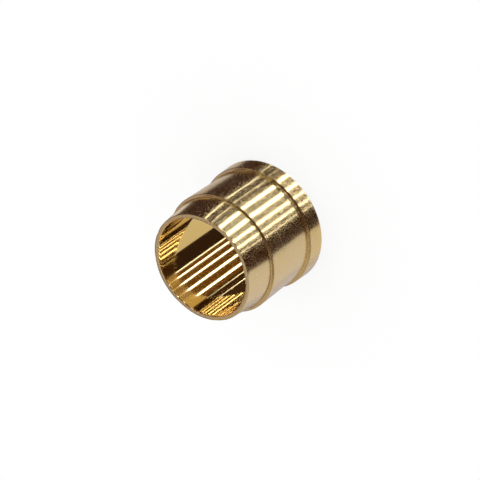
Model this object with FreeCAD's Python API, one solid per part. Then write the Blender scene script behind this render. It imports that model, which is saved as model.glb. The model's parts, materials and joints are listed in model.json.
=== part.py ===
# Compression olive: a brass sleeve turned in one piece, with a plain bore and two shoulders outside.
# Millimetres. The origin is the centre of the back face, on which the olive stands, and +Z runs
# along the bore towards the thin nose. The outside grows in two steps from the nose to the collar.

import FreeCAD
import Part

import math
import os

# The pipe that the olive grips, and the play around it
pipe_diameter = 15.0
pipe_play = 0.05  # on the radius

# Lengths along the axis, from the back face to the nose
collar_length = 2.65
middle_length = 8.6
nose_length = 4.75

# Wall at the nose, then the rises and falls of the outside, on the radius
tip_wall = 0.65
nose_rise = 0.48  # the nose is a slim cone
nose_shoulder = 0.46
middle_fall = 0.16  # the middle tapers slightly towards the collar
collar_shoulder = 0.48
collar_rise = 0.08

# Edges: each is broken with a small round, and each inside corner keeps the tool's nose radius
tip_outer_round = 0.12
tip_inner_round = 0.14
middle_front_round = 0.08
collar_front_round = 0.10
collar_back_round = 0.15
bore_back_round = 0.20
tool_nose_radius = 0.12

bore_radius = pipe_diameter / 2 + pipe_play
tip_radius = bore_radius + tip_wall
nose_root_radius = tip_radius + nose_rise
middle_front_radius = nose_root_radius + nose_shoulder
middle_back_radius = middle_front_radius - middle_fall
collar_front_radius = middle_back_radius + collar_shoulder
collar_back_radius = collar_front_radius + collar_rise

shoulder_z = collar_length + middle_length
nose_z = shoulder_z + nose_length

# Corners of the half section, anticlockwise from the back of the bore: radius, height, rounding
section_corners = [
    (bore_radius, 0, bore_back_round),
    (collar_back_radius, 0, collar_back_round),
    (collar_front_radius, collar_length, collar_front_round),
    (middle_back_radius, collar_length, tool_nose_radius),
    (middle_front_radius, shoulder_z, middle_front_round),
    (nose_root_radius, shoulder_z, tool_nose_radius),
    (tip_radius, nose_z, tip_outer_round),
    (bore_radius, nose_z, tip_inner_round),
]


def rounded_corner(before, corner, after, radius):
    """An arc that rounds the corner, as its start, middle and end."""
    back = (before - corner).normalize()
    ahead = (after - corner).normalize()
    half_angle = back.getAngle(ahead) / 2
    tangent_length = radius / math.tan(half_angle)
    bisector = (back + ahead).normalize()
    arc_distance = radius / math.sin(half_angle) - radius
    return corner + back * tangent_length, corner + bisector * arc_distance, corner + ahead * tangent_length


def rounded_section(corners):
    """The closed half section, with an arc at each corner and straight lines between them."""
    points = [FreeCAD.Vector(radius, 0, height) for radius, height, _ in corners]
    after_points = points[1:] + points[:1]
    arcs = []
    for i, (_, _, rounding) in enumerate(corners):
        arcs.append(rounded_corner(points[i - 1], points[i], after_points[i], rounding))
    edges = []
    for (start, middle, end), next_arc in zip(arcs, arcs[1:] + arcs[:1]):
        edges.append(Part.Arc(start, middle, end).toShape())
        edges.append(Part.LineSegment(end, next_arc[0]).toShape())
    return Part.Face(Part.Wire(edges))


def turned_olive():
    """The section turned once around the bore's axis."""
    centre = FreeCAD.Vector(0, 0, 0)
    axis = FreeCAD.Vector(0, 0, 1)
    return rounded_section(section_corners).revolve(centre, axis, 360)


def main():
    os.makedirs("parts", exist_ok=True)
    olive = turned_olive()
    olive.exportStep("parts/olive.step")
    print(f"bore {2 * bore_radius:.2f}, nose {2 * tip_radius:.2f}, collar {2 * collar_back_radius:.2f} mm across")
    print(f"length {nose_z:.2f} mm, volume {olive.Volume:.1f} mm3, valid {olive.isValid()}")


main()
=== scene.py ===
import json
import math

import bmesh
import bpy
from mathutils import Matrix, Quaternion, Vector


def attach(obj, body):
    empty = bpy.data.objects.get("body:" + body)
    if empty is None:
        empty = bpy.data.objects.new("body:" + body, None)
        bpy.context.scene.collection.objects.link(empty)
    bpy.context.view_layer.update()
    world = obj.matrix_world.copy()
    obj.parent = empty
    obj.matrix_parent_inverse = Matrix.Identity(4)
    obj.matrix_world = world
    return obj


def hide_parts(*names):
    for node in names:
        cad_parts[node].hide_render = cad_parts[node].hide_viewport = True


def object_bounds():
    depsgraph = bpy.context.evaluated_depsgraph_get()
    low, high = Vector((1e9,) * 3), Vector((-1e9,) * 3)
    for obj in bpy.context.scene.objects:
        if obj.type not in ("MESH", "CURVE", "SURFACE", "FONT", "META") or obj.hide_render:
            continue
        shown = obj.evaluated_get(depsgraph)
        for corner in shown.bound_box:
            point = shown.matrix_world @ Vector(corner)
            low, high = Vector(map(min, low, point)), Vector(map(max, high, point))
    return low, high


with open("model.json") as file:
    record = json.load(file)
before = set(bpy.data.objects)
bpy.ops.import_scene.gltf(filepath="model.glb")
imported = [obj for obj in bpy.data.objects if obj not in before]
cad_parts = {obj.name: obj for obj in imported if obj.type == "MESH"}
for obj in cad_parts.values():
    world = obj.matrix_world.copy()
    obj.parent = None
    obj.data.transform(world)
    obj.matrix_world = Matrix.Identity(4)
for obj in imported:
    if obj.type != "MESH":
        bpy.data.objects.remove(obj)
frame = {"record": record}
cadLow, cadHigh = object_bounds()  # the turned solid's box, whose top gives the olive's length and the nose's place
mm = 0.001


def linearColour(hexColour):
    # sRGB hex, such as "#C08040", to the linear values that Blender works in
    channels = []
    for start in (1, 3, 5):
        value = int(hexColour[start:start + 2], 16) / 255
        channels.append(value / 12.92 if value <= 0.04045 else ((value + 0.055) / 1.055) ** 2.4)
    return (*channels, 1)


def addNode(tree, kind, settings=None, values=None, links=None):
    # settings are the node's own, values go on its inputs, links run from other nodes' outputs
    node = tree.nodes.new(kind)
    for name, setting in (settings or {}).items():
        setattr(node, name, setting)
    for socket, value in (values or {}).items():
        node.inputs[socket].default_value = value
    for socket, output in (links or {}).items():
        tree.links.new(output, node.inputs[socket])
    return node


# The olive: the sizes of its half section in mm, from the back face to the nose, and how finely it is turned
olive = {
    "boreRadius": frame["record"]["mounts"][0]["dims"]["r_mm"],
    "length": cadHigh.z / mm,
    "collarLength": 2.65,
    "middleLength": 8.6,
    "tipWall": 0.65,
    "noseRise": 0.48,
    "noseShoulder": 0.46,
    "middleFall": 0.16,
    "collarShoulder": 0.48,
    "collarRise": 0.08,
    "tipOuterRound": 0.12,
    "tipInnerRound": 0.14,
    "middleFrontRound": 0.08,
    "collarFrontRound": 0.10,
    "collarBackRound": 0.15,
    "boreBackRound": 0.20,
    "toolNoseRadius": 0.12,
    "turnSteps": 360,
    "roundSegments": 5,
    "ringSpacing": 0.22,
}


def oliveCorners():
    # radius, height and rounding of each corner, in the order that the outline runs
    o = olive
    tip = o["boreRadius"] + o["tipWall"]
    noseRoot = tip + o["noseRise"]
    middleFront = noseRoot + o["noseShoulder"]
    middleBack = middleFront - o["middleFall"]
    collarFront = middleBack + o["collarShoulder"]
    collarBack = collarFront + o["collarRise"]
    shoulder = o["collarLength"] + o["middleLength"]
    return [
        (o["boreRadius"], 0, o["boreBackRound"]),
        (collarBack, 0, o["collarBackRound"]),
        (collarFront, o["collarLength"], o["collarFrontRound"]),
        (middleBack, o["collarLength"], o["toolNoseRadius"]),
        (middleFront, shoulder, o["middleFrontRound"]),
        (noseRoot, shoulder, o["toolNoseRadius"]),
        (tip, o["length"], o["tipOuterRound"]),
        (o["boreRadius"], o["length"], o["tipInnerRound"]),
    ]


def drawSection(bm):
    corners = oliveCorners()
    verts = [bm.verts.new((radius * mm, 0, height * mm)) for radius, height, _ in corners]
    for i in range(len(verts)):
        bm.edges.new((verts[i - 1], verts[i]))
    # how far back from each corner its round starts, found before any corner is cut
    reaches = []
    for vert, (_, _, rounding) in zip(verts, corners):
        sides = [edge.other_vert(vert).co - vert.co for edge in vert.link_edges]
        reaches.append(rounding * mm / math.tan(sides[0].angle(sides[1]) / 2))
    for vert, reach in zip(verts, reaches):
        bmesh.ops.bevel(bm, geom=[vert], offset=reach, offset_type="OFFSET", affect="VERTICES",
                        segments=olive["roundSegments"], profile=0.5, material=-1)
    # rings along the walls, so that the shading stays true beside the rounds
    for edge in list(bm.edges):
        cuts = int(edge.calc_length() / (olive["ringSpacing"] * mm))
        if cuts:
            bmesh.ops.subdivide_edges(bm, edges=[edge], cuts=cuts)


def turnOlive():
    bm = bmesh.new()
    drawSection(bm)
    bmesh.ops.spin(bm, geom=list(bm.verts) + list(bm.edges), cent=(0, 0, 0), axis=(0, 0, 1),
                   angle=math.tau, steps=olive["turnSteps"], use_merge=True, use_duplicate=False)
    bmesh.ops.remove_doubles(bm, verts=list(bm.verts), dist=0.0005 * mm)
    bmesh.ops.recalc_face_normals(bm, faces=list(bm.faces))
    for face in bm.faces:
        face.smooth = True
    mesh = bpy.data.meshes.new("turnedOlive")
    bm.to_mesh(mesh)
    bm.free()
    piece = bpy.data.objects.new("turnedOlive", mesh)
    bpy.context.scene.collection.objects.link(piece)
    return piece


# Free-cutting brass, turned bright: pale gold. The cut is a mirror broken up by a fine grain of torn metal,
# which draws a haze round every bright reflection. The bore is smoother, so it mirrors itself more sharply.
brass = {
    "colour": "#EED495",
    "cutRoughness": 0.11,
    "tornRoughness": 0.29,
    "boreRoughness": 0.075,
    "boreMargin": 0.05,  # mm
    "anisotropy": 0.3,
    "grain": 0.12,  # mm across
    "grainDepth": 0.00006,  # mm
    "grainTorn": (0.42, 0.6),  # where the grain's pattern turns from cut to torn
    "feed": 0.16,  # mm from one feed mark to the next, drawn a little coarser than it is
    "feedLength": 6,  # mm round the axis
    "feedDepth": 0.00012,  # mm
    "lineHeight": 8.46,  # mm, where one tool line runs round the middle
    "lineWidth": 0.08,
    "lineRoughness": 0.36,
    "lineStrength": 0.4,  # of the scratch's own
    "scratch": (3.53, -8.31, 8.46),  # mm, where the tool line is deepest
    "scratchLength": 2.2,
}


def makeTurnedBrass():
    material = bpy.data.materials.new("turnedBrass")
    material.use_nodes = True
    tree = material.node_tree
    tree.nodes.clear()
    place = addNode(tree, "ShaderNodeTexCoord").outputs["Object"]
    axes = addNode(tree, "ShaderNodeSeparateXYZ", links={0: place}).outputs
    flat = addNode(tree, "ShaderNodeCombineXYZ", links={"X": axes["X"], "Y": axes["Y"]})
    fromAxis = addNode(tree, "ShaderNodeVectorMath", {"operation": "LENGTH"}, links={0: flat.outputs[0]})
    radius = fromAxis.outputs["Value"]
    # the tool's way along walls and faces alike: height less radius
    travel = addNode(tree, "ShaderNodeMath", {"operation": "SUBTRACT"}, links={0: axes["Z"], 1: radius})
    cutPlace = addNode(tree, "ShaderNodeCombineXYZ",
                       links={"X": axes["X"], "Y": axes["Y"], "Z": travel.outputs[0]}).outputs[0]

    # feed marks: long round the axis and one feed wide along it
    aroundScale = 1 / (brass["feedLength"] * mm)
    feedScale = 1 / (brass["feed"] * mm)
    feedPlace = addNode(tree, "ShaderNodeMapping", values={"Scale": (aroundScale, aroundScale, feedScale)},
                        links={"Vector": cutPlace})
    feedMarks = addNode(tree, "ShaderNodeTexNoise", values={"Scale": 1, "Detail": 2, "Roughness": 0.5},
                        links={"Vector": feedPlace.outputs[0]})
    feedBump = addNode(tree, "ShaderNodeBump", values={"Strength": 1, "Distance": brass["feedDepth"] * mm},
                       links={"Height": feedMarks.outputs[0]})
    # grain of torn metal, rough against the mirror of the cut
    grain = addNode(tree, "ShaderNodeTexNoise",
                    values={"Scale": 1 / (brass["grain"] * mm), "Detail": 2, "Roughness": 0.6},
                    links={"Vector": cutPlace})
    grainBump = addNode(tree, "ShaderNodeBump", values={"Strength": 1, "Distance": brass["grainDepth"] * mm},
                        links={"Height": grain.outputs[0], "Normal": feedBump.outputs[0]})
    outsideRoughness = addNode(tree, "ShaderNodeMapRange", {"interpolation_type": "SMOOTHSTEP"},
                               {"From Min": brass["grainTorn"][0], "From Max": brass["grainTorn"][1],
                                "To Min": brass["cutRoughness"], "To Max": brass["tornRoughness"]},
                               {"Value": grain.outputs[0]})

    # the tool line round the middle, deepest at the scratch
    offLine = addNode(tree, "ShaderNodeMath", {"operation": "SUBTRACT"},
                      {1: brass["lineHeight"] * mm}, {0: axes["Z"]})
    fromLine = addNode(tree, "ShaderNodeMath", {"operation": "ABSOLUTE"}, links={0: offLine.outputs[0]})
    scratchPlace = tuple(value * mm for value in brass["scratch"])
    fromScratch = addNode(tree, "ShaderNodeVectorMath", {"operation": "DISTANCE"},
                          {1: scratchPlace}, {0: place})
    lineDepth = addNode(tree, "ShaderNodeMapRange", {"interpolation_type": "SMOOTHSTEP"},
                        {"From Min": brass["scratchLength"] * mm, "From Max": brass["scratchLength"] / 2 * mm,
                         "To Min": brass["lineStrength"], "To Max": 1},
                        {"Value": fromScratch.outputs["Value"]})
    line = addNode(tree, "ShaderNodeMapRange", {"interpolation_type": "SMOOTHSTEP"},
                   {"From Min": brass["lineWidth"] * mm, "From Max": brass["lineWidth"] / 3 * mm},
                   {"Value": fromLine.outputs[0], "To Max": lineDepth.outputs[0]})
    linedRoughness = addNode(tree, "ShaderNodeMix", values={"B": brass["lineRoughness"]},
                             links={"Factor": line.outputs[0], "A": outsideRoughness.outputs[0]})
    # the bore's finish, just past the start of its broken edges
    boreReach = (olive["boreRadius"] + brass["boreMargin"]) * mm
    inBore = addNode(tree, "ShaderNodeMath", {"operation": "LESS_THAN"}, {1: boreReach}, {0: radius})
    roughness = addNode(tree, "ShaderNodeMix", values={"B": brass["boreRoughness"]},
                        links={"Factor": inBore.outputs[0], "A": linedRoughness.outputs[0]})

    tangent = addNode(tree, "ShaderNodeTangent", {"direction_type": "RADIAL", "axis": "Z"})
    shader = addNode(tree, "ShaderNodeBsdfPrincipled",
                     values={"Base Color": linearColour(brass["colour"]), "Metallic": 1,
                             "Anisotropic": brass["anisotropy"], "Anisotropic Rotation": 0.25},
                     links={"Roughness": roughness.outputs[0], "Normal": grainBump.outputs[0],
                            "Tangent": tangent.outputs[0]})
    addNode(tree, "ShaderNodeOutputMaterial", links={"Surface": shader.outputs[0]})
    return material


print("turning the olive")
turned = turnOlive()
turned.data.materials.append(makeTurnedBrass())
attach(turned, "root")
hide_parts("olive")

# The camera, as the photograph saw the olive: looking into the nose from above, rolled so that the nose
# points to the lower left. Angles in degrees, and nosePixel is where the middle of the nose falls.
view = {
    "azimuth": 45,
    "elevation": 44.18,
    "roll": -125.46,
    "distance": 0.328,
    "lens": 176.42,
    "sensor": 36,
    "clipStart": 0.01,
    "imageSize": 480,
    "nosePixel": (201.13, 267.88),
}


def placeCamera():
    camera = bpy.data.objects.new("camera", bpy.data.cameras.new("camera"))
    bpy.context.scene.collection.objects.link(camera)
    bpy.context.scene.camera = camera
    camera.data.lens = view["lens"]
    camera.data.sensor_width = view["sensor"]
    camera.data.clip_start = view["clipStart"]
    azimuth, elevation = math.radians(view["azimuth"]), math.radians(view["elevation"])
    back = Vector((math.sin(azimuth) * math.cos(elevation), -math.cos(azimuth) * math.cos(elevation),
                   math.sin(elevation)))
    turn = (-back).to_track_quat("-Z", "Y") @ Quaternion((0, 0, 1), math.radians(view["roll"]))
    # slid sideways until the middle of the nose falls on its pixel
    pixel = view["distance"] * view["sensor"] / view["lens"] / view["imageSize"]
    nosePlace = Vector((0, 0, cadHigh.z)) + back * view["distance"]
    across = view["nosePixel"][0] - view["imageSize"] / 2
    down = view["nosePixel"][1] - view["imageSize"] / 2
    camera.location = nosePlace + turn @ Vector((-across * pixel, down * pixel, 0))
    camera.rotation_mode = "QUATERNION"
    camera.rotation_quaternion = turn


# The light tent that the bright metal mirrors. Turns are in degrees round the olive from the camera's side,
# anticlockwise from above, and rises are degrees above the horizon, where 100 is past the top. Each cloth
# hangs before those above it, with its edges soft over so many degrees. The tubes hang before the cloths.
tent = {
    "backing": "#CEC6C6",
    "cloths": [
        # pale sides, for the walls' right and left edges
        {"turn": (-200, -128), "rise": (-100, 100), "soft": 8, "colour": "#C6C4D6"},
        {"turn": (-128, -58.6), "rise": (-100, 100), "soft": 8, "colour": "#D8D6E9"},
        {"turn": (128, 182), "rise": (-43, 100), "soft": 4, "colour": "#EBE8EC"},
        {"turn": (-182, -150), "rise": (-42, -33), "soft": 1, "colour": "#A8A5B0"},
        # high cloths, for the two shoulders and the flat ring of the nose
        {"turn": (-144, -54), "rise": (24, 64), "soft": 4, "colour": "#8C88A2"},
        {"turn": (-144, -54), "rise": (42.6, 48.2), "soft": 1, "colour": "#F0F4FF"},
        {"turn": (-222, -142), "rise": (36, 66), "soft": 8, "colour": "#C2B8AE"},
        {"turn": (118, 182), "rise": (22, 66), "soft": 30, "colour": "#B4A8BE"},
        # dark cloths behind and in front
        {"turn": (-215, -145), "rise": (-28, 37), "soft": 4, "colour": "#3C2E24"},
        {"turn": (-58.6, 100), "rise": (-100, 100), "soft": 3, "colour": "#3A2520"},
        {"turn": (84, 134), "rise": (-100, 26), "soft": 16, "colour": "#463537"},
        {"turn": (110, 141), "rise": (-41.2, 24), "soft": 6, "colour": "#3C2A24"},
        {"turn": (60, 150), "rise": (42, 50), "soft": 2, "colour": "#3A2520"},
        {"turn": (-88, 130), "rise": (56, 100), "soft": 8, "colour": "#4E3830"},
    ],
    "tubes": [
        # seven in front
        {"turn": (79.2, 80.4), "rise": (-100, 46), "strength": 9},
        {"turn": (62.9, 63.5), "rise": (-100, 60), "strength": 9},
        {"turn": (41.3, 45.9), "rise": (-100, 22), "strength": 8},
        {"turn": (20.7, 25.7), "rise": (-100, 22), "strength": 8},
        {"turn": (3.3, 6.7), "rise": (-100, 22), "strength": 8},
        {"turn": (-11.2, -8.8), "rise": (-100, 22), "strength": 8},
        {"turn": (-21.9, -21.1), "rise": (-100, 22), "strength": 8},
        # four behind
        {"turn": (-206.5, -203.5), "rise": (-30, 12), "strength": 4},
        {"turn": (-192.5, -187.5), "rise": (-30, 12), "strength": 4},
        {"turn": (-176.5, -171.5), "rise": (-30, 12), "strength": 4},
        {"turn": (-159.5, -156.5), "rise": (-30, 12), "strength": 4},
    ],
    # the low strip that the bore mirrors, where the same cloths and tubes look narrower. Its brown and amber
    # cloths are painted reflection, the brass mirrored in itself inside the bore, hung in the tent as colour.
    "boreClothsAndPaintedReflection": [
        {"turn": (-225, -112), "rise": (-43, -41.6), "soft": 0.8, "colour": "#8A6A3C"},
        {"turn": (-110, -56), "rise": (-44.7, -41.2), "soft": 1, "colour": "#D9CFB8"},
        {"turn": (-58, -23), "rise": (-44.7, -41.2), "soft": 1, "colour": "#33231A"},
        {"turn": (-24, 58), "rise": (-44.7, -41.2), "soft": 5, "colour": "#76501E"},
        {"turn": (58, 112), "rise": (-44.7, -41.2), "soft": 5, "colour": "#402C18"},
    ],
    "boreTubesAndPaintedReflection": [
        {"turn": (79.4, 80.2), "rise": (-44.7, -43.4), "strength": 9},
        {"turn": (62.9, 63.5), "rise": (-44.7, -43.4), "strength": 9},
        {"turn": (43, 46), "rise": (-44.7, -41.2), "strength": 9},
        {"turn": (21.5, 23.7), "rise": (-44.7, -41.2), "strength": 9},
        {"turn": (3.7, 5.2), "rise": (-44.7, -41.2), "strength": 9},
        {"turn": (-12, -10.9), "rise": (-44.7, -41.2), "strength": 9},
        {"turn": (-23.1, -22.5), "rise": (-44.7, -41.2), "strength": 7},
        # painted second reflections of the tubes in front, where the bore mirrors them twice at the mouth
        {"turn": (-137, -132.6), "rise": (-42.6, -41.9), "strength": 3},
        {"turn": (-173.2, -169.2), "rise": (-42.6, -41.9), "strength": 3},
        {"turn": (-204.4, -201.2), "rise": (-42.6, -41.9), "strength": 3},
    ],
    "tubeSoft": 0.6,
    "tubeColour": "#EDF2FF",
    "fan": 0.0075,  # the tubes in front stand this share closer for each degree nearer to the horizon
    "fanRise": 43,  # degrees below the horizon, where their turns hold
    "fanReach": 90,  # degrees to either side that count as in front
}


def makeTent():
    world = bpy.data.worlds.new("lightTent")
    bpy.context.scene.world = world
    world.use_nodes = True
    world.cycles.sampling_method = "NONE"  # the tent is for mirrored rays alone, so it is found by them
    tree = world.node_tree
    tree.nodes.clear()
    towards = addNode(tree, "ShaderNodeTexCoord").outputs["Generated"]
    turned = addNode(tree, "ShaderNodeVectorRotate", {"rotation_type": "Z_AXIS"},
                     {"Angle": math.radians(90 - view["azimuth"])}, {"Vector": towards})
    axes = addNode(tree, "ShaderNodeSeparateXYZ", links={0: turned.outputs[0]}).outputs
    around = addNode(tree, "ShaderNodeMath", {"operation": "ARCTAN2"}, links={0: axes["Y"], 1: axes["X"]})
    turn = addNode(tree, "ShaderNodeMath", {"operation": "DEGREES"}, links={0: around.outputs[0]}).outputs[0]
    upward = addNode(tree, "ShaderNodeMath", {"operation": "ARCSINE"}, links={0: axes["Z"]})
    rise = addNode(tree, "ShaderNodeMath", {"operation": "DEGREES"}, links={0: upward.outputs[0]}).outputs[0]

    # the turn that the tubes in front stand by
    fromHorizon = addNode(tree, "ShaderNodeMath", {"operation": "ABSOLUTE"}, links={0: rise})
    fan = addNode(tree, "ShaderNodeMath", {"operation": "MULTIPLY_ADD"},
                  {1: -tent["fan"], 2: 1 + tent["fan"] * tent["fanRise"]}, {0: fromHorizon.outputs[0]})
    fanned = addNode(tree, "ShaderNodeMath", {"operation": "MULTIPLY"}, links={0: turn, 1: fan.outputs[0]})

    def window(angle, low, high, soft):
        # 1 between low and high, falling to 0 over the soft degrees about each
        off = addNode(tree, "ShaderNodeMath", {"operation": "SUBTRACT"}, {1: (low + high) / 2}, {0: angle})
        wrapped = addNode(tree, "ShaderNodeMath", {"operation": "WRAP"},
                          {1: 180, 2: -180}, {0: off.outputs[0]})
        far = addNode(tree, "ShaderNodeMath", {"operation": "ABSOLUTE"}, links={0: wrapped.outputs[0]})
        half = (high - low) / 2
        return addNode(tree, "ShaderNodeMapRange", {"interpolation_type": "SMOOTHSTEP"},
                       {"From Min": half + soft / 2, "From Max": half - soft / 2},
                       {"Value": far.outputs[0]}).outputs[0]

    def hang(behind, piece, angle, soft, colour, strength):
        mask = addNode(tree, "ShaderNodeMath", {"operation": "MULTIPLY"},
                       links={0: window(angle, *piece["turn"], soft), 1: window(rise, *piece["rise"], soft)})
        light = [channel * strength for channel in linearColour(colour)[:3]]
        mix = addNode(tree, "ShaderNodeMix", {"data_type": "RGBA"}, {"B": (*light, 1)},
                      {"Factor": mask.outputs[0], "A": behind})
        return mix.outputs["Result"]

    backing = addNode(tree, "ShaderNodeRGB").outputs[0]
    backing.default_value = linearColour(tent["backing"])
    light = backing
    # the second pass hangs the bore's strip, with its painted reflections of the brass and of the tubes
    for cloths, tubes in (("cloths", "tubes"), ("boreClothsAndPaintedReflection", "boreTubesAndPaintedReflection")):
        for cloth in tent[cloths]:
            light = hang(light, cloth, turn, cloth["soft"], cloth["colour"], 1)
        for tube in tent[tubes]:
            inFront = abs(tube["turn"][0]) < tent["fanReach"]
            angle = fanned.outputs[0] if inFront else turn
            light = hang(light, tube, angle, tent["tubeSoft"], tent["tubeColour"], tube["strength"])
    # plain white, but for the rays that the metal sends
    mirrored = addNode(tree, "ShaderNodeLightPath").outputs["Is Glossy Ray"]
    seen = addNode(tree, "ShaderNodeMix", {"data_type": "RGBA"}, {"A": (1, 1, 1, 1)},
                   {"Factor": mirrored, "B": light})
    background = addNode(tree, "ShaderNodeBackground", links={"Color": seen.outputs["Result"]})
    addNode(tree, "ShaderNodeOutputWorld", links={"Surface": background.outputs[0]})


# Matt white floor: mostly its own white to the camera, and the rest takes the olive's soft shadow
floorLook = {"size": 4, "colour": "#F4F4F4", "ownWhite": 0.8}


def layFloor():
    bm = bmesh.new()
    bmesh.ops.create_grid(bm, x_segments=1, y_segments=1, size=floorLook["size"] / 2)
    mesh = bpy.data.meshes.new("floor")
    bm.to_mesh(mesh)
    bm.free()
    floor = bpy.data.objects.new("floor", mesh)
    bpy.context.scene.collection.objects.link(floor)
    material = bpy.data.materials.new("mattWhiteFloor")
    material.use_nodes = True
    tree = material.node_tree
    tree.nodes.clear()
    paint = addNode(tree, "ShaderNodeBsdfDiffuse", values={"Color": linearColour(floorLook["colour"])})
    glow = addNode(tree, "ShaderNodeEmission", values={"Color": (1, 1, 1, 1), "Strength": 1})
    path = addNode(tree, "ShaderNodeLightPath")
    share = addNode(tree, "ShaderNodeMath", {"operation": "MULTIPLY"}, {1: floorLook["ownWhite"]},
                    {0: path.outputs["Is Camera Ray"]})
    mix = addNode(tree, "ShaderNodeMixShader",
                  links={0: share.outputs[0], 1: paint.outputs[0], 2: glow.outputs[0]})
    addNode(tree, "ShaderNodeOutputMaterial", links={"Surface": mix.outputs[0]})
    mesh.materials.append(material)
    floor.visible_glossy = False  # the metal mirrors the tent and not the floor


# One broad soft lamp overhead
overhead = {"height": 0.6, "size": 0.5, "energy": 0.5}


def hangLamp():
    lamp = bpy.data.lights.new("overheadLamp", "AREA")
    lamp.shape = "SQUARE"
    lamp.size = overhead["size"]
    lamp.energy = overhead["energy"]
    holder = bpy.data.objects.new("overheadLamp", lamp)
    holder.location = (0, 0, overhead["height"])
    holder.visible_glossy = False
    bpy.context.scene.collection.objects.link(holder)


print("placing the camera, floor and lights")
placeCamera()
makeTent()
layFloor()
hangLamp()

scene = bpy.context.scene
scene.view_settings.view_transform = "Standard"
scene.cycles.max_bounces = 24  # the bore mirrors itself many times over
scene.cycles.glossy_bounces = 24

print("done")
